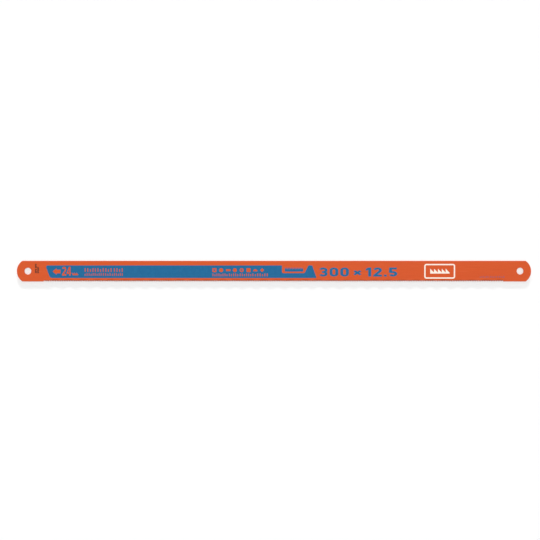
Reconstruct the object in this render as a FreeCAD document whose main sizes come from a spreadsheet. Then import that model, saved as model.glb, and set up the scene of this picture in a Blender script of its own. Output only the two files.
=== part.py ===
# Hand hacksaw blade: one strip of steel with a pin hole in each rounded end and a row of fine teeth set in a wave.
# The blade lies flat: X runs along it, the teeth point to -Y and cut towards -X, and Z is its thickness.
# The origin is midway between the pin holes and midway across the width, at the height of the lowest tooth point.
import FreeCAD
import Part
import math
import os
import Sketcher

# Driving sizes: name, value, and what it measures. Lengths are in millimetres and angles in degrees.
SIZES = [
    ("hole_spacing", 300.0, "centre to centre of the two pin holes"),
    ("hole_diameter", 4.2, "pin hole"),
    ("end_margin", 6.7, "pin hole's centre to the end of the blade"),
    ("end_rise", 3.3, "how far the rounded end stands past its corners"),
    ("blade_width", 12.5, "back edge to tooth points"),
    ("steel_thickness", 0.65, "the strip's thickness"),
    ("back_radius", 0.12, "rounding of the strip's back edge"),
    ("plain_length", 8.0, "least length without teeth beside each pin hole's centre"),
    ("teeth_per_inch", 24.0, "teeth in 25.4 mm"),
    ("tooth_land", 0.05, "flat left at each tooth point"),
    ("rake_angle", 3.0, "lean of the cutting face"),
    ("relief_angle", 38.0, "slope of a tooth's back"),
    ("gullet_radius", 0.25, "round at the bottom of each gullet"),
    ("teeth_per_wave", 8.0, "teeth in one full wave of the set"),
    ("set_offset", 0.17, "how far the wave pushes a tooth point sideways"),
    ("set_height", 1.5, "tooth points to the line where the bend starts"),
]

# Chords that stand for the round of each gullet, which keeps the mesh of so many teeth small.
GULLET_CHORDS = 4
# How far the gullet's cutting profile reaches past the tooth points.
CUT_MARGIN = 1.0

# Values worked out from the sizes, written as the document's own expressions.
PITCH = "(25.4 / Sizes.teeth_per_inch)"
WAVE = f"({PITCH} * Sizes.teeth_per_wave)"
WAVE_COUNT = f"floor((Sizes.hole_spacing - 2 * Sizes.plain_length) / {WAVE})"
ROW_LENGTH = f"({WAVE_COUNT} * {WAVE})"
ROW_START = f"(0 - {ROW_LENGTH} / 2)"
GULLET_COUNT = f"floor({ROW_LENGTH} / {PITCH} + 1.5)"
MID_HEIGHT = "(Sizes.set_offset + Sizes.steel_thickness / 2)"
STRAIGHT_LENGTH = "(Sizes.hole_spacing + 2 * Sizes.end_margin - 2 * Sizes.end_rise)"
END_RADIUS = "((pow(Sizes.blade_width / 2; 2) + pow(Sizes.end_rise; 2)) / (2 * Sizes.end_rise))"
WAVE_RADIUS = f"((pow({WAVE} / 4; 2) + pow(Sizes.set_offset; 2)) / (2 * Sizes.set_offset))"
POINT_LINE = "(0 - Sizes.blade_width / 2)"
SET_LINE = "(Sizes.set_height - Sizes.blade_width / 2)"

# Names for what a sketch constraint refers to: a point of an edge, the sketch's origin, and its axes.
START, END, CENTRE = 1, 2, 3
SKETCH_ORIGIN = (-1, 1)
SKETCH_X, SKETCH_Y = -1, -2


def make_sheet(doc):
    """The spreadsheet that holds the driving sizes."""
    sheet = doc.addObject("Spreadsheet::Sheet", "Sizes")
    for row, (name, value, meaning) in enumerate(SIZES, start=1):
        sheet.set(f"A{row}", name)
        sheet.set(f"B{row}", str(value))
        sheet.set(f"C{row}", meaning)
        sheet.setAlias(f"B{row}", name)
    doc.recompute()
    return sheet


def reader(sheet):
    """A function that gives the present value of one of the expressions above."""
    return lambda expression: float(sheet.evalExpression(expression))


def origin_part(body, role):
    """One of the body's own origin planes or axes."""
    return next(part for part in body.Origin.OriginFeatures if part.Role == role)


def add_sketch(body, name, plane, offsets):
    """A sketch on an origin plane, moved in its own axes by expressions such as {"z": MID_HEIGHT}."""
    sketch = body.newObject("Sketcher::SketchObject", name)
    sketch.AttachmentSupport = [(origin_part(body, plane), "")]
    sketch.MapMode = "FlatFace"
    for axis, expression in offsets.items():
        sketch.setExpression(f".AttachmentOffset.Base.{axis}", expression)
    return sketch


def drive(sketch, name, expression, kind, *refers_to, value):
    """Adds a size constraint to a sketch, at its present value, and binds it to the sheet."""
    index = sketch.addConstraint(Sketcher.Constraint(kind, *refers_to, value))
    sketch.renameConstraint(index, name)
    sketch.setExpression(f"Constraints.{name}", expression)


def relate(sketch, kind, *refers_to):
    """Adds a constraint that has no size."""
    sketch.addConstraint(Sketcher.Constraint(kind, *refers_to))


def close_loop(sketch, ends):
    """Joins each edge's last point to the next edge's first point. ends lists (edge, first point, last point)."""
    for index, (edge, _, last) in enumerate(ends):
        following, first, _ = ends[(index + 1) % len(ends)]
        relate(sketch, "Coincident", edge, last, following, first)


def vector(x, y):
    return FreeCAD.Vector(x, y, 0)


def chain(sketch, corners):
    """Draws straight edges through the corners, round to the first, and joins them."""
    for index, corner in enumerate(corners):
        sketch.addGeometry(Part.LineSegment(corner, corners[(index + 1) % len(corners)]))
    close_loop(sketch, [(index, START, END) for index in range(len(corners))])


def arc_by_ends(start, end, radius):
    """The shorter arc that runs anticlockwise from start to end."""
    half_chord = (end - start) * 0.5
    rise = math.sqrt(radius**2 - half_chord.Length**2)
    across = FreeCAD.Vector(-half_chord.y, half_chord.x, 0).normalize()
    centre = start + half_chord + across * rise
    circle = Part.Circle(centre, FreeCAD.Vector(0, 0, 1), radius)
    first, last = (math.atan2(p.y - centre.y, p.x - centre.x) for p in (start, end))
    return Part.ArcOfCircle(circle, first, last if last > first else last + 2 * math.pi)


def draw_outline(body, now):
    """The blade seen from above, without the band that carries the teeth."""
    straight, width = now(STRAIGHT_LENGTH) / 2, now("Sizes.blade_width") / 2
    row, set_line = now(ROW_LENGTH) / 2, now(SET_LINE)
    radius = now(END_RADIUS)
    sketch = add_sketch(body, "outline", "XY_Plane", {"z": MID_HEIGHT})
    front_top, front_low = vector(-straight, width), vector(-straight, -width)
    rear_low, rear_top = vector(straight, -width), vector(straight, width)
    notch = [vector(-row, -width), vector(-row, set_line), vector(row, set_line), vector(row, -width)]
    back, front_end, front_tab, notch_front, notch_top, notch_rear, rear_tab, rear_end = range(8)
    sketch.addGeometry(Part.LineSegment(rear_top, front_top))
    sketch.addGeometry(arc_by_ends(front_top, front_low, radius))
    sketch.addGeometry(Part.LineSegment(front_low, notch[0]))
    for start, end in zip(notch, notch[1:]):
        sketch.addGeometry(Part.LineSegment(start, end))
    sketch.addGeometry(Part.LineSegment(notch[3], rear_low))
    sketch.addGeometry(arc_by_ends(rear_low, rear_top, radius))
    close_loop(sketch, [(edge, START, END) for edge in range(8)])
    for edge in (front_tab, rear_tab):
        relate(sketch, "Horizontal", edge)
    for edge in (notch_front, notch_rear):
        relate(sketch, "Vertical", edge)
    relate(sketch, "Symmetric", back, START, back, END, SKETCH_Y)
    for edge in (front_end, rear_end):
        relate(sketch, "PointOnObject", edge, CENTRE, SKETCH_X)
        relate(sketch, "Vertical", edge, START, edge, END)
    relate(sketch, "Symmetric", notch_top, START, notch_top, END, SKETCH_Y)
    relate(sketch, "Equal", front_end, rear_end)
    drive(sketch, "straight_length", STRAIGHT_LENGTH, "DistanceX", back, END, back, START, value=2 * straight)
    drive(sketch, "width", "Sizes.blade_width", "DistanceY", front_end, END, front_end, START, value=2 * width)
    drive(sketch, "end_radius", END_RADIUS, "Radius", front_end, value=radius)
    drive(sketch, "row_length", ROW_LENGTH, "DistanceX", notch_top, START, notch_top, END, value=2 * row)
    drive(
        sketch, "set_height", "Sizes.set_height", "DistanceY", notch_front, START, notch_front, END,
        value=now("Sizes.set_height"),
    )
    return sketch


def make_strip(doc, body, now):
    """The strip, with its back edge rounded."""
    pad = body.newObject("PartDesign::Pad", "strip")
    pad.Profile = draw_outline(body, now)
    pad.SideType = "Symmetric"
    pad.setExpression("Length", "Sizes.steel_thickness")
    doc.recompute()
    back = now("Sizes.blade_width") / 2
    back_edges = [
        f"Edge{index}"
        for index, edge in enumerate(pad.Shape.Edges, start=1)
        if all(abs(vertex.Y - back) < 1e-6 for vertex in edge.Vertexes)
        and edge.Length > now(STRAIGHT_LENGTH) / 2
    ]
    rounding = body.newObject("PartDesign::Fillet", "back_rounding")
    rounding.Base = (pad, back_edges)
    rounding.setExpression("Radius", "Sizes.back_radius")
    return rounding


def make_pin_holes(doc, body, now):
    """The front pin hole, and its mirror image at the rear."""
    sketch = add_sketch(body, "pin_hole_circle", "XY_Plane", {"z": MID_HEIGHT})
    from_middle = now("Sizes.hole_spacing") / 2
    radius = now("Sizes.hole_diameter") / 2
    sketch.addGeometry(Part.Circle(vector(-from_middle, 0), FreeCAD.Vector(0, 0, 1), radius))
    relate(sketch, "PointOnObject", 0, CENTRE, SKETCH_X)
    drive(
        sketch, "from_middle", "Sizes.hole_spacing / 2", "DistanceX", 0, CENTRE, *SKETCH_ORIGIN,
        value=from_middle,
    )
    drive(sketch, "diameter", "Sizes.hole_diameter", "Diameter", 0, value=2 * radius)
    hole = body.newObject("PartDesign::Pocket", "pin_hole")
    hole.Profile = sketch
    hole.Type = "ThroughAll"
    hole.SideType = "Symmetric"
    doc.recompute()
    both = body.newObject("PartDesign::Mirrored", "pin_holes")
    both.Originals = [hole]
    both.MirrorPlane = (origin_part(body, "YZ_Plane"), [""])
    body.Tip = both
    return both


def draw_band_section(body, now, name, level, wavy):
    """The section of one wave of the tooth band, at a level across the width: straight, or bent by the set."""
    start, half_wave = now(ROW_START), now(WAVE) / 2
    half_steel = now("Sizes.steel_thickness") / 2
    sketch = add_sketch(body, name, "XZ_Plane", {"y": MID_HEIGHT, "z": f"0 - {level}"})
    low = [vector(start + step * half_wave, -half_steel) for step in range(3)]
    high = [vector(start + step * half_wave, half_steel) for step in (2, 1, 0)]
    low_up, low_down, last_end, high_down, high_up, first_end = range(6)
    if wavy:
        # A bump upwards runs anticlockwise from right to left, and a bump downwards from left to right.
        radius = now(WAVE_RADIUS)
        sketch.addGeometry(arc_by_ends(low[1], low[0], radius))
        sketch.addGeometry(arc_by_ends(low[1], low[2], radius))
        sketch.addGeometry(Part.LineSegment(low[2], high[0]))
        sketch.addGeometry(arc_by_ends(high[1], high[0], radius))
        sketch.addGeometry(arc_by_ends(high[1], high[2], radius))
        ends = [
            (low_up, END, START), (low_down, START, END), (last_end, START, END),
            (high_down, END, START), (high_up, START, END), (first_end, START, END),
        ]
    else:
        for edge_start, edge_end in zip(low + high, (low + high)[1:]):
            sketch.addGeometry(Part.LineSegment(edge_start, edge_end))
        ends = [(edge, START, END) for edge in range(6)]
    sketch.addGeometry(Part.LineSegment(high[2], low[0]))
    close_loop(sketch, ends)
    relate(sketch, "Vertical", last_end)
    for edge, first, last in (ends[low_up], ends[low_down], ends[high_down], ends[high_up]):
        relate(sketch, "Horizontal", edge, first, edge, last)
    relate(sketch, "Symmetric", first_end, START, first_end, END, SKETCH_X)
    relate(sketch, "Vertical", low_down, ends[low_down][1], high_up, ends[high_up][1])
    if wavy:
        for edge in (low_down, high_down, high_up):
            relate(sketch, "Equal", low_up, edge)
        drive(sketch, "wave_radius", WAVE_RADIUS, "Radius", low_up, value=radius)
    middle = (low_down, ends[low_down][1])
    drive(
        sketch, "row_start", f"0 - {ROW_START}", "DistanceX", first_end, END, *SKETCH_ORIGIN,
        value=-start,
    )
    drive(
        sketch, "first_half", f"{WAVE} / 2", "DistanceX", first_end, END, *middle,
        value=half_wave,
    )
    drive(
        sketch, "second_half", f"{WAVE} / 2", "DistanceX", *middle, last_end, START,
        value=half_wave,
    )
    drive(
        sketch, "thickness", "Sizes.steel_thickness", "DistanceY", first_end, END, first_end, START,
        value=2 * half_steel,
    )
    return sketch


def pattern_along(body, name, original, step, count):
    """Repeats a feature along the blade."""
    pattern = body.newObject("PartDesign::LinearPattern", name)
    pattern.Originals = [original]
    pattern.Direction = (origin_part(body, "X_Axis"), [""])
    pattern.Mode = "Spacing"
    pattern.setExpression("Offset", step)
    pattern.setExpression("Occurrences", count)
    body.Tip = pattern
    return pattern


def make_tooth_band(body, now):
    """The band that carries the teeth. It is straight where the bend starts and wavy at the tooth points."""
    wave = body.newObject("PartDesign::AdditiveLoft", "wave")
    wave.Profile = draw_band_section(body, now, "section_at_set_line", SET_LINE, wavy=False)
    wave.Sections = [draw_band_section(body, now, "section_at_points", POINT_LINE, wavy=True)]
    wave.Ruled = True
    return pattern_along(body, "waves", wave, WAVE, WAVE_COUNT)


def draw_gullet(body, now):
    """The profile of the gullet ahead of the first tooth: a tooth's back, the round, and a cutting face."""
    pitch, land, level = now(PITCH), now("Sizes.tooth_land"), now(POINT_LINE)
    relief, rake = (math.radians(now(f"Sizes.{name}_angle")) for name in ("relief", "rake"))
    radius = now("Sizes.gullet_radius")
    back_start, face_end = vector(now(ROW_START) - pitch + land, level), vector(now(ROW_START), level)
    along_back = vector(math.cos(relief), math.sin(relief))
    along_face = vector(math.sin(rake), math.cos(rake))

    # The two sloping lines meet at an apex, and the round touches both below it.
    gap = face_end - back_start
    turn = along_back.x * along_face.y - along_back.y * along_face.x
    apex = back_start + along_back * ((gap.x * along_face.y - gap.y * along_face.x) / turn)
    half_angle = (math.pi / 2 - rake - relief) / 2
    to_touch = radius / math.tan(half_angle)
    bisector = vector(math.cos(relief + half_angle), math.sin(relief + half_angle))
    centre = apex - bisector * (radius / math.sin(half_angle))
    back_turn, face_turn = relief + math.pi / 2, -rake
    step = (face_turn - back_turn) / GULLET_CHORDS
    around = [back_turn + step * index for index in range(1, GULLET_CHORDS)]
    corners = [back_start, apex - along_back * to_touch]
    corners += [centre + vector(math.cos(angle), math.sin(angle)) * radius for angle in around]
    corners += [apex - along_face * to_touch, face_end]
    corners += [vector(face_end.x, level - CUT_MARGIN), vector(back_start.x, level - CUT_MARGIN)]

    sketch = add_sketch(body, "gullet_profile", "XY_Plane", {"z": MID_HEIGHT})
    chain(sketch, corners)
    back, face = 0, GULLET_CHORDS + 1
    down, across, up = face + 1, face + 2, face + 3
    circle = Part.Circle(centre, FreeCAD.Vector(0, 0, 1), radius)
    touching_round = sketch.addGeometry(Part.ArcOfCircle(circle, face_turn, back_turn), True)
    relate(sketch, "Tangent", back, END, touching_round, END)
    relate(sketch, "Tangent", face, START, touching_round, START)
    for chord in range(1, GULLET_CHORDS):
        relate(sketch, "PointOnObject", chord, END, touching_round)
        relate(sketch, "Equal", chord, chord + 1)
    for edge in (down, up):
        relate(sketch, "Vertical", edge)
    relate(sketch, "Horizontal", across)
    relate(sketch, "Horizontal", back, START, face, END)
    drive(sketch, "radius", "Sizes.gullet_radius", "Radius", touching_round, value=radius)
    drive(sketch, "relief", "Sizes.relief_angle * 1 deg", "Angle", back, value=relief)
    drive(
        sketch, "rake", "(0 - 90 - Sizes.rake_angle) * 1 deg", "Angle", face,
        value=-math.pi / 2 - rake,
    )
    drive(
        sketch, "width", f"{PITCH} - Sizes.tooth_land", "DistanceX", back, START, face, END,
        value=pitch - land,
    )
    drive(
        sketch, "first_point", f"0 - {ROW_START}", "DistanceX", face, END, *SKETCH_ORIGIN,
        value=-face_end.x,
    )
    drive(
        sketch, "point_line", "Sizes.blade_width / 2", "DistanceY", face, END, *SKETCH_ORIGIN,
        value=-level,
    )
    sketch.addConstraint(Sketcher.Constraint("DistanceY", down, END, down, START, CUT_MARGIN))
    return sketch


def cut_teeth(body, now):
    """Cuts the gullets, which leaves the teeth between them."""
    gullet = body.newObject("PartDesign::Pocket", "gullet")
    gullet.Profile = draw_gullet(body, now)
    gullet.Type = "ThroughAll"
    gullet.SideType = "Symmetric"
    return pattern_along(body, "gullets", gullet, PITCH, GULLET_COUNT)


def check(doc, body):
    """Stops if an object failed, a feature changed nothing, or the blade isn't one closed solid."""
    for item in doc.Objects:
        if any(word in item.State for word in ("Invalid", "Error")):
            raise RuntimeError(f"{item.Name} failed: {item.State}")
        if item.isDerivedFrom("Sketcher::SketchObject") and not item.FullyConstrained:
            raise RuntimeError(f"{item.Name} isn't fully constrained")
        if item.isDerivedFrom("PartDesign::Feature") and item.BaseFeature is not None:
            if abs(item.Shape.Volume - item.BaseFeature.Shape.Volume) < 1e-6:
                raise RuntimeError(f"{item.Name} added or cut nothing")
    shape = body.Shape
    if shape.isNull() or not shape.isValid() or len(shape.Solids) != 1:
        raise RuntimeError("the blade isn't one valid solid")


def main():
    doc = FreeCAD.newDocument("hacksaw_blade")
    now = reader(make_sheet(doc))
    body = doc.addObject("PartDesign::Body", "blade")
    body.Label = "blade"
    make_strip(doc, body, now)
    doc.recompute()
    make_pin_holes(doc, body, now)
    doc.recompute()
    make_tooth_band(body, now)
    doc.recompute()
    cut_teeth(body, now)
    doc.recompute()
    check(doc, body)
    os.makedirs("parts", exist_ok=True)
    body.Shape.exportStep("parts/blade.step")
    box = body.Shape.BoundBox
    print(f"blade: {box.XLength:.2f} x {box.YLength:.2f} x {box.ZLength:.2f} mm, {body.Shape.Volume:.1f} mm3")
    print(f"teeth: {int(now(GULLET_COUNT)) - 1}, waves: {int(now(WAVE_COUNT))}, faces: {len(body.Shape.Faces)}")


main()
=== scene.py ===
import math

import bmesh
import bpy
from mathutils import Matrix, Vector


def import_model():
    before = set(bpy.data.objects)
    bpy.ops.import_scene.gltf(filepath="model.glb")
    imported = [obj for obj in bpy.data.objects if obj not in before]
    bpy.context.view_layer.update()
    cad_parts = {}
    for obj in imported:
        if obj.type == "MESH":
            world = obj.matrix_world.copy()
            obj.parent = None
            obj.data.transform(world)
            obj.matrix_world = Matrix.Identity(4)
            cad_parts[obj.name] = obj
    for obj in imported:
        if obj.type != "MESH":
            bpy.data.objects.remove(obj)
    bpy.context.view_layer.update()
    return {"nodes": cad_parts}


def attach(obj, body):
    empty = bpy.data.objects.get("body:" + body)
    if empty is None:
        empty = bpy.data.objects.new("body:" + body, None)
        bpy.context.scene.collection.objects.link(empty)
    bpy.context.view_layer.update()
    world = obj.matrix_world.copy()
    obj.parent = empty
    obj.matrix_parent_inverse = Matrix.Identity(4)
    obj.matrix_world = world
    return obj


MM = 0.001

# The blade as packed, in millimetres: its top side above the table, and where its row of teeth ends.
STEEL_TOP = 0.82
TOOTH_ROW_END = 139.7
# The wave that the teeth are set in: its length, how far it pushes a tooth point up or down, and the Y of the
# line where the steel starts to bend and of the points.
INCH = 25.4
TEETH_PER_INCH, TEETH_PER_WAVE = 24, 8
WAVE = INCH / TEETH_PER_INCH * TEETH_PER_WAVE
SET_OFFSET = 0.17
SET_LINE, POINT_LINE = -4.75, -6.25

# Ink films, in millimetres: how far they reach into the lacquer and stand above it.
INK_SINK = 0.004
INK_RISE = 0.018

# Points nearer to each other than this, in millimetres, are one.
WELD_GAP = 0.0005

# The photograph: millimetres in a pixel, the column midway between the pin holes, the row of the blade's
# middle, and the length of each side in pixels.
MM_PER_PIXEL = 0.6094
MIDDLE_COLUMN = 273.96
MIDDLE_ROW = 271.12
IMAGE_SIDE = 540

# The blue band, in millimetres: its bottom and top, and the X of its slanted ends, low and high.
BAND_BOTTOM, BAND_TOP = -4.2, 3.5
BAND_LEFT_LOW, BAND_LEFT_HIGH = -136.5, -139.3
BAND_RIGHT_LOW, BAND_RIGHT_HIGH = 26.0, 23.3
# The rounding of its eight corners, from the lower left one anticlockwise.
BAND_RADII = (2.0, 0.4, 0.4, 0.3, 0.8, 0.8, 0.4, 1.0)

# A box cut out of the band's top, near its right end, with a row of blue teeth in it.
CUT_OUT_BOTTOM = -1.2
CUT_OUT_LEFT = 4.9
CUT_OUT_RIGHT_LOW, CUT_OUT_RIGHT_HIGH = 18.6, 21.0
CUT_OUT_TEETH = (6.6, -0.3, 17.9, 2.4)

# Other print, as (left, bottom, right, top) in millimetres.
ARROW = (-134.9, -2.2, -130.1, 1.75)
TOOTH_NUMBER = (-129.1, -2.75, -123.6, 2.65)
LITTLE_TEETH = (-122.8, -2.45, -119.3, -0.75)
PROFILES = (-37.5, -0.6, -6.0, 1.8)
SIZE_NUMBERS = (27.4, -3.3, 75.2, 2.2)
PANEL = (91.6, -4.6, 110.4, 4.4)
PANEL_LINE, PANEL_RADIUS, PANEL_INNER_RADIUS = 0.8, 1.3, 0.6
PANEL_TEETH = (95.2, -1.5, 107.0, 1.5)

# Rows of bars where small text would be: bottom, top, and the X where each word starts and ends.
LEFT_LINES = (
    (-0.45, 1.8, ((-115.3, -110.0), (-109.1, -99.0), (-97.5, -92.2))),
    (-2.85, -1.2, ((-115.3, -105.1), (-104.2, -99.6), (-98.7, -92.2))),
)
MIDDLE_LINE = (-3.15, -1.45, ((-37.4, -28.4), (-27.4, -21.8), (-20.8, -12.6), (-11.6, -3.8)))
FINE_LINE = (-4.05, -3.0, ((125.6, 130.6), (131.8, 135.0), (136.2, 140.2)))
# A shorter bar's height as a share of a full one's.
SHORT_BAR = 0.75
# The same for two columns at the blade's left end: left, right, and the Y where each word starts and ends.
CODE_COLUMNS = (
    (-145.6, -144.55, ((-1.2, 1.4), (1.9, 4.4))),
    (-144.2, -143.15, ((-1.2, 2.6),)),
)

# Colours as the display shows them, 0 to 255.
ORANGE = (212, 87, 40)
ORANGE_DEEP = (195, 76, 36)
ORANGE_PALE = (224, 112, 66)
# Painted shade: the darker colour laid on the lacquer along the teeth, for the shade in the gaps between them.
TOOTH_SHADE = (158, 84, 60)
STEEL = (128, 122, 116)
SPECK = (120, 50, 30)
BLUE = (32, 105, 151)
BLUE_DEEP = (26, 90, 136)
WHITE_INK = (250, 238, 226)
WHITE_INK_DULL = (238, 222, 208)
DARK_INK = (84, 48, 38)
DARK_INK_PALE = (120, 66, 44)
FLOOR_WHITE = (250, 250, 250)
FLOOR_SHADE = (247, 247, 247)


def linear(colour, alpha=1.0):
    """A display colour, 0 to 255, as the linear colour that shaders take."""
    def channel(value):
        share = value / 255
        # The standard display curve: a straight foot, then a power.
        return share / 12.92 if share <= 0.04045 else ((share + 0.055) / 1.055) ** 2.4
    return (*[channel(value) for value in colour], alpha)


class Shader:
    """A node material with short calls for the nodes that the finishes share."""

    def __init__(self, name):
        self.material = bpy.data.materials.new(name)
        self.material.use_nodes = True
        self.tree = self.material.node_tree
        self.tree.nodes.clear()
        self.output = self.node("ShaderNodeOutputMaterial")
        self.surface = self.node("ShaderNodeBsdfPrincipled")
        self.link(self.surface.outputs["BSDF"], self.output.inputs["Surface"])
        self.place = self.node("ShaderNodeTexCoord").outputs["Object"]

    def node(self, kind, **settings):
        node = self.tree.nodes.new(kind)
        for name, value in settings.items():
            setattr(node, name, value)
        return node

    def link(self, source, target):
        self.tree.links.new(source, target)

    def noise(self, scale, detail=3.0, roughness=0.5, stretch=(1, 1, 1)):
        """Noise of about scale features in a metre, stretched along the axes."""
        mapping = self.node("ShaderNodeMapping")
        mapping.inputs["Scale"].default_value = stretch
        self.link(self.place, mapping.inputs["Vector"])
        noise = self.node("ShaderNodeTexNoise")
        noise.inputs["Scale"].default_value = scale
        noise.inputs["Detail"].default_value = detail
        noise.inputs["Roughness"].default_value = roughness
        self.link(mapping.outputs["Vector"], noise.inputs["Vector"])
        return noise.outputs["Fac"]

    def ramp(self, value, low, high, to_low=0.0, to_high=1.0):
        """The value's stretch from low to high, spread over to_low to to_high and held there."""
        node = self.node("ShaderNodeMapRange", interpolation_type="SMOOTHSTEP")
        for name, number in (("From Min", low), ("From Max", high), ("To Min", to_low), ("To Max", to_high)):
            node.inputs[name].default_value = number
        self.link(value, node.inputs["Value"])
        return node.outputs["Result"]

    def maths(self, operation, *values):
        """A sum on numbers and other nodes' outputs."""
        node = self.node("ShaderNodeMath", operation=operation)
        for value, socket in zip(values, node.inputs):
            if isinstance(value, float):
                socket.default_value = value
            else:
                self.link(value, socket)
        return node.outputs["Value"]

    def specks(self, scale, threshold, edge=0.03):
        """A mask of small scattered spots. A higher threshold leaves fewer and smaller ones."""
        return self.ramp(self.noise(scale, detail=2.0), threshold, threshold + edge)

    def blend(self, share, first, second):
        """Two colours mixed by a share. Each is a display colour or another node's output."""
        node = self.node("ShaderNodeMix", data_type="RGBA")
        self.link(share, node.inputs["Factor"])
        for socket, colour in ((node.inputs[6], first), (node.inputs[7], second)):
            if isinstance(colour, tuple):
                socket.default_value = linear(colour)
            else:
                self.link(colour, socket)
        return node.outputs[2]

    def bump(self, height, distance, strength=1.0, below=None):
        node = self.node("ShaderNodeBump")
        node.inputs["Distance"].default_value = distance
        node.inputs["Strength"].default_value = strength
        self.link(height, node.inputs["Height"])
        if below is not None:
            self.link(below, node.inputs["Normal"])
        return node.outputs["Normal"]

    def set(self, **values):
        for name, value in values.items():
            self.surface.inputs[name.replace("_", " ")].default_value = value


def bend_normal(shader, position, in_row):
    """The smooth normal of the sides that bend into the wave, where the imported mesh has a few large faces."""
    x, y = position.outputs["X"], position.outputs["Y"]
    phase = math.tau * TOOTH_ROW_END / WAVE
    turn = shader.maths("MULTIPLY_ADD", x, math.tau / (WAVE * MM), phase)
    across_slope = SET_OFFSET / (SET_LINE - POINT_LINE)
    along_slope = SET_OFFSET * math.tau / WAVE
    bend_start, bend_end = SET_LINE + 0.4, SET_LINE - 0.5
    bent = shader.ramp(y, bend_start * MM, bend_end * MM, to_high=across_slope)
    waved = shader.ramp(y, SET_LINE * MM, POINT_LINE * MM, to_high=-along_slope)
    lean = shader.node("ShaderNodeCombineXYZ")
    lean.inputs["Z"].default_value = 1.0
    for wave, slope, axis in (("COSINE", waved, "X"), ("SINE", bent, "Y")):
        tilt = shader.maths("MULTIPLY", shader.maths(wave, turn), slope)
        shader.link(shader.maths("MULTIPLY", tilt, in_row), lean.inputs[axis])
    # The underside leans the other way. Rounded edges and the walls between teeth keep their own normals:
    # a face is on a side where its normal points this much up or down.
    edge_facing, side_facing = 0.94, 0.97
    geometry = shader.node("ShaderNodeNewGeometry")
    facing = shader.node("ShaderNodeSeparateXYZ")
    shader.link(geometry.outputs["True Normal"], facing.inputs["Vector"])
    outward = shader.node("ShaderNodeVectorMath", operation="SCALE")
    shader.link(lean.outputs["Vector"], outward.inputs["Vector"])
    shader.link(shader.maths("SIGN", facing.outputs["Z"]), outward.inputs["Scale"])
    unit = shader.node("ShaderNodeVectorMath", operation="NORMALIZE")
    shader.link(outward.outputs["Vector"], unit.inputs[0])
    on_side = shader.ramp(shader.maths("ABSOLUTE", facing.outputs["Z"]), edge_facing, side_facing)
    low = shader.ramp(y, (bend_start + 0.1) * MM, bend_start * MM)
    choice = shader.node("ShaderNodeMix", data_type="VECTOR")
    shader.link(shader.maths("MULTIPLY", on_side, low), choice.inputs["Factor"])
    shader.link(geometry.outputs["Normal"], choice.inputs[4])
    shader.link(unit.outputs["Vector"], choice.inputs[5])
    return choice.outputs[1]


def lacquer_material():
    """Orange lacquer over rolled steel, darkened by painted shade towards the teeth, and worn through to the
    steel here and there along the teeth.
    """
    shader = Shader("orange_lacquer")
    position = shader.node("ShaderNodeSeparateXYZ")
    shader.link(shader.place, position.inputs["Vector"])

    # Broad patches, the streaks of the rolled steel, fine pale hairlines along the blade, and specks.
    patches = shader.ramp(shader.noise(28.0, stretch=(0.4, 1, 1)), 0.3, 0.7, to_high=0.15)
    streaks = shader.noise(2600.0, detail=4.0, stretch=(0.03, 1, 1))
    colour = shader.blend(patches, ORANGE, ORANGE_DEEP)
    colour = shader.blend(shader.ramp(streaks, 0.4, 0.75, to_high=0.35), colour, ORANGE_DEEP)
    hairlines = shader.noise(4200.0, detail=1.0, stretch=(0.012, 1, 1))
    colour = shader.blend(shader.ramp(hairlines, 0.66, 0.76, to_high=0.5), colour, ORANGE_PALE)
    specks = shader.specks(2600.0, threshold=0.725)
    colour = shader.blend(shader.ramp(specks, 0, 1, to_high=0.6), colour, SPECK)

    # Between the two ends of the row of teeth, painted shade darkens the lacquer from just above the gullets to
    # the points, standing in for the shade in the gaps between the teeth.
    fade = 0.4
    shade_start, shade_end = -5.0, -5.8
    bare_start, bare_end = -5.95, -6.2
    from_middle = shader.maths("ABSOLUTE", position.outputs["X"])
    in_row = shader.ramp(from_middle, (TOOTH_ROW_END + fade) * MM, (TOOTH_ROW_END - fade) * MM)
    toward_teeth = shader.ramp(position.outputs["Y"], shade_start * MM, shade_end * MM)
    near_teeth = shader.maths("MULTIPLY", in_row, toward_teeth)
    # Painted shade, broken up by noise, over the lacquer near the teeth.
    tooth_shade = shader.maths("MULTIPLY", near_teeth, shader.ramp(shader.noise(900.0), 0.35, 0.65, 0.45, 0.9))
    colour = shader.blend(tooth_shade, colour, TOOTH_SHADE)
    toward_points = shader.ramp(position.outputs["Y"], bare_start * MM, bare_end * MM)
    at_points = shader.maths("MULTIPLY", in_row, toward_points)
    bare = shader.maths("MULTIPLY", at_points, shader.ramp(shader.noise(2200.0, detail=4.0), 0.42, 0.55))
    shader.link(shader.blend(bare, colour, STEEL), shader.surface.inputs["Base Color"])
    shader.link(shader.ramp(bare, 0, 1, to_high=0.85), shader.surface.inputs["Metallic"])

    # Orange peel, then the rolled streaks and the hairlines, over the smooth bend of the teeth.
    smooth = bend_normal(shader, position, in_row)
    peel = shader.bump(shader.noise(1500.0, detail=1.0), 0.02 * MM, 0.7, below=smooth)
    rolled = shader.bump(streaks, 0.005 * MM, 0.7, below=peel)
    shader.link(shader.bump(hairlines, 0.003 * MM, 0.6, below=rolled), shader.surface.inputs["Normal"])
    sheen = shader.ramp(shader.noise(500.0, detail=5.0, stretch=(0.3, 1, 1)), 0.3, 0.7, 0.32, 0.46)
    shader.link(sheen, shader.surface.inputs["Roughness"])
    shader.set(Coat_Weight=0.1, Coat_Roughness=0.2, Specular_IOR_Level=0.27)
    return shader.material


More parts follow.
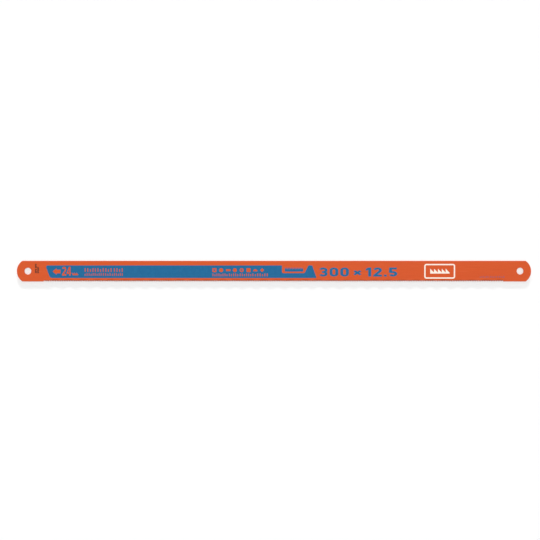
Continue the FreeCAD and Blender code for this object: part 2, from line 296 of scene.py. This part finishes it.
def ink_material(name, colour, deep):
    """Printed ink: nearly even, with a faint mottle, a fine screen of streaks and a few pinholes."""
    shader = Shader(name)
    share = 0.35
    mottle = shader.ramp(shader.noise(700.0, detail=4.0), 0.3, 0.75, to_high=share)
    printed = shader.blend(mottle, colour, deep)
    streaks = shader.noise(3000.0, detail=2.0, stretch=(1, 0.06, 1))
    printed = shader.blend(shader.ramp(streaks, 0.45, 0.75, to_high=share), printed, deep)
    pinholes = shader.specks(3600.0, threshold=0.745)
    shader.link(shader.blend(pinholes, printed, ORANGE_DEEP), shader.surface.inputs["Base Color"])
    peel = shader.bump(shader.noise(1500.0, detail=1.0), 0.02 * MM, 0.5)
    shader.link(shader.bump(streaks, 0.003 * MM, 0.5, below=peel), shader.surface.inputs["Normal"])
    shader.link(shader.ramp(mottle, 0.0, share, 0.38, 0.5), shader.surface.inputs["Roughness"])
    shader.set(Specular_IOR_Level=0.25)
    return shader.material


def soften_edges(blade):
    """Rounds the blade's sharp edges by a hair and shades its bends smoothly, with modifiers alone."""
    weld = blade.modifiers.new("weld", "WELD")
    weld.merge_threshold = WELD_GAP * MM
    flats = blade.modifiers.new("flats", "DECIMATE")
    flats.decimate_type = "DISSOLVE"
    flats.angle_limit = math.radians(0.2)
    bevel = blade.modifiers.new("edges", "BEVEL")
    bevel.width = 0.02 * MM
    bevel.segments = 2
    bevel.limit_method = "ANGLE"
    bevel.angle_limit = math.radians(40)
    bevel.use_clamp_overlap = False
    bevel.harden_normals = True


def film(name, loops, material):
    """An ink film bounded by closed loops of (x, y) in millimetres. A loop inside another is a hole in it."""
    outline = bpy.data.curves.new(name, "CURVE")
    outline.dimensions = "2D"
    outline.fill_mode = "BOTH"
    outline.extrude = (INK_SINK + INK_RISE) / 2
    for loop in loops:
        spline = outline.splines.new("POLY")
        spline.points.add(len(loop) - 1)
        for point, (x, y) in zip(spline.points, loop):
            point.co = (x, y, 0, 1)
        spline.use_cyclic_u = True
    drawn = bpy.data.objects.new(name + "_outline", outline)
    bpy.context.collection.objects.link(drawn)
    mesh = bpy.data.meshes.new_from_object(drawn.evaluated_get(bpy.context.evaluated_depsgraph_get()))
    bpy.data.objects.remove(drawn)
    bpy.data.curves.remove(outline)
    height = STEEL_TOP + (INK_RISE - INK_SINK) / 2
    mesh.transform(Matrix.Translation((0, 0, height)))
    skin = bmesh.new()
    skin.from_mesh(mesh)
    bmesh.ops.remove_doubles(skin, verts=skin.verts, dist=WELD_GAP)
    skin.to_mesh(mesh)
    skin.free()
    mesh.transform(Matrix.Scale(MM, 4))
    mesh.name = name
    mesh.materials.clear()
    mesh.materials.append(material)
    piece = bpy.data.objects.new(name, mesh)
    bpy.context.collection.objects.link(piece)
    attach(piece, "root")


def rounded(corners, radii, steps=5):
    """A closed loop through the corners, each rounded by an arc. radii is one radius, or one a corner."""
    if not isinstance(radii, (list, tuple)):
        radii = [radii] * len(corners)
    loop = []
    for index, (corner, radius) in enumerate(zip(corners, radii)):
        here = Vector(corner)
        if radius == 0:
            loop.append(tuple(here))
            continue
        before = (Vector(corners[index - 1]) - here).normalized()
        after = (Vector(corners[(index + 1) % len(corners)]) - here).normalized()
        half = before.angle(after) / 2
        centre = here + (before + after).normalized() * (radius / math.sin(half))
        start = here + before * (radius / math.tan(half)) - centre
        end = here + after * (radius / math.tan(half)) - centre
        turn = start.angle_signed(end)
        for step in range(steps + 1):
            spoke = start.copy()
            spoke.rotate(Matrix.Rotation(-turn * step / steps, 2))
            loop.append(tuple(centre + spoke))
    return loop


def box_loop(left, bottom, right, top, radius=0.0):
    """An upright box's outline, with rounded corners where a radius is given."""
    return rounded([(left, bottom), (right, bottom), (right, top), (left, top)], radius)


def arc(centre_x, centre_y, radius, first, last, steps=14):
    """Points along an arc between two directions in degrees, anticlockwise from +X."""
    turns = [math.radians(first + (last - first) * step / steps) for step in range(steps + 1)]
    return [(centre_x + radius * math.cos(turn), centre_y + radius * math.sin(turn)) for turn in turns]


def ring(centre_x, centre_y, radius, corners=24):
    """A closed circle, or a polygon where it has few corners."""
    return arc(centre_x, centre_y, radius, 0, 360 - 360 / corners, corners - 1)


def zero(width, height, pen):
    """A tall ring whose ends are nearly half circles."""
    roundness = 0.98
    outside = box_loop(0, 0, width, height, width / 2 * roundness)
    inside = box_loop(pen, pen, width - pen, height - pen, (width / 2 - pen) * roundness)
    return [outside, inside]


def one(width, height, pen):
    """A stem with a sloping flag."""
    stem = width - pen
    flag = [(stem, height), (0, height - pen * 0.7), (0, height - pen * 1.75), (stem, height - pen * 1.2)]
    return [[(stem, 0), (width, 0), (width, height)] + flag]


def two(width, height, pen):
    """A bowl that runs on as a straight slope down to the foot."""
    middle = width / 2
    bowl, bowl_start, bowl_end = height - middle, 165, -38
    outside = arc(middle, bowl, middle, bowl_start, bowl_end)
    inside = arc(middle, bowl, middle - pen, bowl_end, bowl_start)
    slope = math.tan(math.radians(90 + bowl_end))
    foot = outside[-1][0] - (outside[-1][1] - pen) / slope
    heel = inside[0][1] - inside[0][0] * slope
    return [outside + [(foot, pen), (width, pen), (width, 0), (0, 0), (0, heel)] + inside]


def three(width, height, pen):
    """Two bowls, one above the other, whose outer circles cross where the digit is narrowest."""
    middle, inner = width / 2, width / 2 - pen
    upper, lower, tip = height - middle, middle, 160
    crossing = math.degrees(math.asin((upper - lower) / 2 / middle))
    outside = arc(middle, upper, middle, tip, -crossing) + arc(middle, lower, middle, crossing, -tip)
    spur = [(middle - inner, lower + inner), (middle - inner, upper - inner)]
    return [outside + arc(middle, lower, inner, -tip, 90) + spur + arc(middle, upper, inner, -90, tip)]


def four(width, height, pen):
    """A stem, a bar a fifth of the way up and a slope, with a three-cornered hole between them."""
    stem, bar, thick = width - pen * 1.5, height * 0.2, pen * 0.9
    right = [(stem, 0), (stem + pen, 0), (stem + pen, bar), (width, bar), (width, bar + thick)]
    top = [(stem + pen, bar + thick), (stem + pen, height), (stem - pen * 0.15, height)]
    left = [(0, bar + thick * 1.2), (0, bar), (stem, bar)]
    inside = [(stem, bar + thick), (stem, height - pen * 1.5), (pen * 0.95, bar + thick)]
    return [right + top + left, inside]


def five(width, height, pen):
    """A top bar and a stem on a bowl. The stem meets the bowl a pen's width in from the left."""
    middle, stem = width / 2, pen * 1.15
    start, tip, inner_end = math.degrees(math.acos((stem - middle) / middle)), -158, 135
    bar_end = width * 0.94
    bar = [(pen * 0.2, height), (bar_end, height), (bar_end, height - pen), (stem, height - pen)]
    bowl = arc(middle, middle, middle, start, tip) + arc(middle, middle, middle - pen, tip, inner_end)
    return [bar + bowl + [(pen * 0.05, middle * 1.42)]]


def times(width, height, pen):
    """A multiplication sign: four arms, each with two corners at its tip and one between it and the next."""
    reach, half, level = width / 2 * math.sqrt(2) * 0.9, pen * 0.45, height * 0.42
    loop = []
    for quarter in range(4):
        turn = Matrix.Rotation(math.radians(90 * quarter + 45), 2)
        for corner in ((reach, -half), (reach, half), (half, half)):
            spot = turn @ Vector(corner)
            loop.append((width / 2 + spot.x, level + spot.y))
    return [loop]


def point(width, height, pen):
    """A decimal point. It takes the height that every sign is given, and stands on the line."""
    return [box_loop(0, 0, width, pen)]


# Each sign's drawing, and its width as a share of a digit's.
SIGNS = {"0": (zero, 1.0), "1": (one, 0.62), "2": (two, 1.0), "3": (three, 1.0), "4": (four, 1.08),
         "5": (five, 1.0), "x": (times, 0.8), ".": (point, 0.33), " ": (None, 0.12)}


def number_loops(text, box, pen, gap):
    """Loops of a plain number, drawn upright with that pen and stretched to fill the box's length."""
    left, bottom, right, top = box
    height = top - bottom
    width = (height + pen) / 2
    loops, end = [], 0
    for sign in text:
        draw, share = SIGNS[sign]
        if draw:
            loops += [[(end + x, y) for x, y in loop] for loop in draw(width * share, height, pen)]
        end += width * share + gap
    stretch = (right - left) / (end - gap)
    return [[(left + x * stretch, bottom + y) for x, y in loop] for loop in loops]


def bar_loops(line, pitch, share):
    """Groups of upright bars where words would be. Every third bar is shorter."""
    bottom, top, words = line
    loops = []
    for first, last in words:
        count = max(1, round((last - first) / pitch))
        width = (last - first) / (count - 1 + share) * share
        for index in range(count):
            left = first + index * width / share
            height = (top - bottom) * (SHORT_BAR if (index + count) % 3 == 0 else 1)
            loops.append(box_loop(left, bottom, left + width, bottom + height))
    return loops


def swapped(loops):
    """The loops with X and Y exchanged, so that rows become columns."""
    return [[(y, x) for x, y in loop] for loop in loops]


def teeth_loop(box, count, base):
    """A strip of saw teeth with their steep faces towards -X, on a base of that height."""
    left, bottom, right, top = box
    pitch = (right - left) / count
    loop = [(left, bottom), (right, bottom), (right, bottom + base)]
    for index in reversed(range(count)):
        loop += [(left + index * pitch, top), (left + index * pitch, bottom + base)]
    return loop[:-1]


def arrow_loop(box):
    """A block arrow that points to -X."""
    left, bottom, right, top = box
    middle, height = (bottom + top) / 2, top - bottom
    neck, half = left + height * 0.6, height * 0.28
    head = [(left, middle), (neck, bottom), (neck, middle - half)]
    return head + [(right, middle - half), (right, middle + half), (neck, middle + half), (neck, top)]


def profile_loops(box):
    """Ends of the stock that a saw cuts: a square tube, a rod, a flat bar, a hexagon, a tube, a square bar, a
    half-round bar and a diamond."""
    left, bottom, right, top = box
    size = top - bottom
    wall, half, wide = size * 0.3, size / 2, size / 2 * 1.1
    drawings = [
        [box_loop(0, 0, size, size), box_loop(wall, wall, size - wall, size - wall)],
        [ring(half, half, half)],
        [box_loop(0, half / 2, wide * 2, half * 1.5)],
        [ring(half, half, wide, corners=6)],
        [ring(half, half, half), ring(half, half, half - wall)],
        [box_loop(0, 0, size, size)],
        [arc(half, size * 0.2, wide, 0, 180)],
        [[(half, 0), (size, half), (half, size), (0, half)]],
    ]
    pitch = (right - left - size) / (len(drawings) - 1)
    return [[(left + index * pitch + x, bottom + y) for x, y in loop]
            for index, drawing in enumerate(drawings) for loop in drawing]


def band_loops():
    """The blue band and all that is left bare in it."""
    corners = [
        (BAND_LEFT_LOW, BAND_BOTTOM), (BAND_RIGHT_LOW, BAND_BOTTOM), (BAND_RIGHT_HIGH, BAND_TOP),
        (CUT_OUT_RIGHT_HIGH, BAND_TOP), (CUT_OUT_RIGHT_LOW, CUT_OUT_BOTTOM), (CUT_OUT_LEFT, CUT_OUT_BOTTOM),
        (CUT_OUT_LEFT, BAND_TOP), (BAND_LEFT_HIGH, BAND_TOP),
    ]
    loops = [rounded(corners, BAND_RADII)]
    loops.append(arrow_loop(ARROW))
    loops += number_loops("24", TOOTH_NUMBER, pen=0.95, gap=0.45)
    loops.append(teeth_loop(LITTLE_TEETH, count=3, base=0.35))
    upper_line, lower_line = LEFT_LINES
    loops += bar_loops(upper_line, pitch=1.4, share=0.34)
    loops += bar_loops(lower_line, pitch=1.1, share=0.36)
    loops += profile_loops(PROFILES)
    return loops + bar_loops(MIDDLE_LINE, pitch=1.2, share=0.37)


def make_print():
    """All the ink on the blade's top side, each field of it one film."""
    blue = ink_material("blue_ink", BLUE, BLUE_DEEP)
    film("print_band", band_loops(), blue)
    film("print_band_teeth", [teeth_loop(CUT_OUT_TEETH, count=12, base=1.35)], blue)
    film("print_size_numbers", number_loops("300 x 12.5", SIZE_NUMBERS, pen=1.15, gap=0.75), blue)
    left, bottom, right, top = PANEL
    inside = (left + PANEL_LINE, bottom + PANEL_LINE, right - PANEL_LINE, top - PANEL_LINE)
    border = [box_loop(*PANEL, PANEL_RADIUS), box_loop(*inside, PANEL_INNER_RADIUS)]
    white = ink_material("white_ink", WHITE_INK, WHITE_INK_DULL)
    film("print_panel", border + [teeth_loop(PANEL_TEETH, count=5, base=0.6)], white)
    dark = ink_material("dark_ink", DARK_INK, DARK_INK_PALE)
    columns = [swapped(bar_loops(column, pitch=0.7, share=0.86)) for column in CODE_COLUMNS]
    film("print_code", [loop for loops in columns for loop in loops], dark)
    film("print_fine_line", bar_loops(FINE_LINE, pitch=0.9, share=0.22), blue)


def make_floor():
    """A wide, pale, matt floor that the blade lies on."""
    bpy.ops.mesh.primitive_plane_add(size=30.0, location=(0, 0, 0))
    floor = bpy.context.object
    floor.name = "floor"
    shader = Shader("pale_floor")
    tone = shader.ramp(shader.noise(3.0), 0.2, 0.8)
    shader.link(shader.blend(tone, FLOOR_WHITE, FLOOR_SHADE), shader.surface.inputs["Base Color"])
    shader.set(Roughness=0.9, Specular_IOR_Level=0.1)
    floor.data.materials.append(shader.material)


def add_softbox(name, side, elevation, spread, strength, shines=True):
    """A far, wide softbox, on the +Y side where side is 1 and on the -Y side where it is -1. elevation and
    spread are in degrees. Without shines it lights and casts shadows, but isn't seen in the gloss."""
    light = bpy.data.lights.new(name, "SUN")
    light.angle = math.radians(spread)
    light.energy = strength
    lamp = bpy.data.objects.new(name, light)
    rise = math.radians(elevation)
    away = Vector((0, side * math.cos(rise), math.sin(rise)))
    lamp.location = away
    lamp.rotation_euler = (-away).to_track_quat("-Z", "Y").to_euler()
    lamp.visible_glossy = shines
    bpy.context.collection.objects.link(lamp)


def make_world():
    """Pale all round at the horizon and dim overhead, where it would bleach the colours."""
    world = bpy.data.worlds.new("studio")
    world.use_nodes = True
    tree = world.node_tree
    direction = tree.nodes.new("ShaderNodeTexCoord").outputs["Generated"]
    split = tree.nodes.new("ShaderNodeSeparateXYZ")
    tree.links.new(direction, split.inputs["Vector"])
    glow = tree.nodes.new("ShaderNodeMapRange")
    glow.interpolation_type = "SMOOTHERSTEP"
    for name, number in (("From Min", 0.0), ("From Max", 0.7), ("To Min", 0.65), ("To Max", 0.16)):
        glow.inputs[name].default_value = number
    tree.links.new(split.outputs["Z"], glow.inputs["Value"])
    background = tree.nodes["Background"]
    background.inputs["Color"].default_value = (1, 1, 1, 1)
    tree.links.new(glow.outputs["Result"], background.inputs["Strength"])
    bpy.context.scene.world = world


def make_lights():
    """Most light comes from overhead. The low softbox casts the faint shadow below the blade in the image."""
    add_softbox("top_softbox", side=1, elevation=84, spread=30, strength=1.5, shines=False)
    add_softbox("far_softbox", side=1, elevation=64, spread=34, strength=0.39)
    add_softbox("near_softbox", side=-1, elevation=60, spread=34, strength=0.45, shines=False)
    add_softbox("low_softbox", side=1, elevation=10, spread=3, strength=2.6, shines=False)
    make_world()


def make_camera():
    """Looks straight down, with the blade where the photograph has it."""
    lens, sensor = 100.0, 36.0
    camera = bpy.data.cameras.new("camera")
    camera.lens = lens
    camera.sensor_width = sensor
    view = bpy.data.objects.new("camera", camera)
    middle = IMAGE_SIDE / 2
    across = (middle - MIDDLE_COLUMN) * MM_PER_PIXEL
    up = (MIDDLE_ROW - middle) * MM_PER_PIXEL
    distance = IMAGE_SIDE * MM_PER_PIXEL * lens / sensor
    view.location = (across * MM, up * MM, (distance + STEEL_TOP) * MM)
    camera.clip_start = 0.05
    camera.clip_end = 20.0
    bpy.context.collection.objects.link(view)
    bpy.context.scene.camera = view


def main():
    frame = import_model()
    blade = frame["nodes"]["blade"]
    blade.material_slots[0].material = lacquer_material()
    soften_edges(blade)
    make_print()
    make_floor()
    make_lights()
    make_camera()
    bpy.context.scene.view_settings.view_transform = "Standard"


main()
